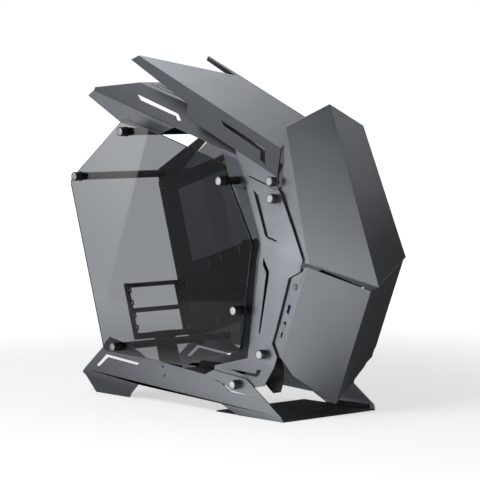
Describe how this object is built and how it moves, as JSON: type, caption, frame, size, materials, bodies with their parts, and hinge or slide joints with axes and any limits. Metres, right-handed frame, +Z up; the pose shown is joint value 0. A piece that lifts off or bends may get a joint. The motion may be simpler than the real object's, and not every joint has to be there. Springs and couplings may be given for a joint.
{
  "type": "computer case",
  "caption": "Open-frame computer case of folded dark metal sheets: winged roof, faceted front, long base rails, smoked glass side panes on tie rods and a leaning board tray.",
  "frame": {"origin": "centre of the bounding box in X and Y, on the floor at the underside of the rails", "axes": "+X to the case's right as seen from its front, +Y towards the rear, +Z up; the front faces -Y"},
  "size_m": [0.2476, 0.573, 0.5328],
  "materials": {
    "panel_metal": "satin dark grey anodised sheet",
    "frame_metal": "satin grey anodised plate",
    "inner_metal": "satin black paint",
    "pane_glass": "smoked tempered glass, 4 mm",
    "screw_black": "black knurled screw heads",
    "cap_steel": "turned bright end faces",
    "washer_black": "thin black washers",
    "standoff_brass": "bare brass",
    "socket_metal": "socket shells",
    "board_green": "circuit board",
    "button_metal": "satin button"
  },
  "bodies": {
    "case": {"audio_socket": "socket_metal", "board_standoffs": "standoff_brass", "button_switch": "board_green", "floor_plate": "inner_metal", "frame_screw_caps": "cap_steel", "frame_screws": "screw_black", "front_bracket": "inner_metal", "front_lower_panel": "panel_metal", "front_posts": "inner_metal", "front_upper_panel": "panel_metal", "glass_screw_caps": "cap_steel", "glass_screws": "screw_black", "glass_washers": "washer_black", "left_glass": "pane_glass", "left_pillar": "frame_metal", "left_rail": "frame_metal", "left_wing_bracket": "inner_metal", "motherboard_tray": "inner_metal", "port_board": "board_green", "rear_floor": "inner_metal", "rear_wing": "panel_metal", "right_glass": "pane_glass", "right_pillar": "frame_metal", "right_rail": "frame_metal", "right_wing_bracket": "inner_metal", "slot_bracket": "inner_metal", "support_post": "inner_metal", "tie_rods": "inner_metal", "top_wing": "panel_metal", "usb_a_socket": "socket_metal", "usb_c_socket": "socket_metal"},
    "button": {"power_button": "button_metal"}
  },
  "joints": [
    {"name": "button_press", "type": "slide", "parent": "case", "child": "button", "axis": [1, 0, 0], "range_m": [0, 0.0008], "stiffness_N_per_m": 400, "springref_m": -0.001}
  ]
}
